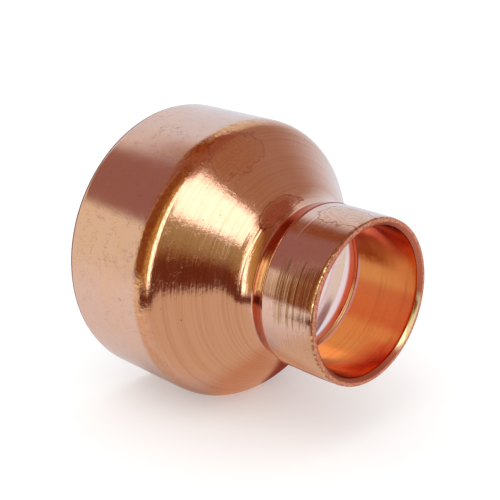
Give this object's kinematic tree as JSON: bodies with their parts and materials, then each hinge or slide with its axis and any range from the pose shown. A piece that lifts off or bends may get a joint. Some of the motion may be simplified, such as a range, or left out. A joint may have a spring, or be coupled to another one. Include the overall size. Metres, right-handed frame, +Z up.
{
  "type": "concentric reducer",
  "caption": "Concentric reducing coupling in bare copper: a wide and a narrow solder socket on one axis, joined by a rounded shoulder, a cone and a necked tube stop.",
  "frame": {"origin": "on the fitting's axis, halfway between the two mouths", "axes": "+X along the axis towards the small socket, +Z up, as the fitting lies in view with its axis level"},
  "size_m": [0.0276, 0.0298, 0.0298],
  "materials": {
    "copper": "bright drawn copper, lightly brushed round the axis"
  },
  "bodies": {
    "root": {"reducer_body": "copper"}
  },
  "joints": []
}
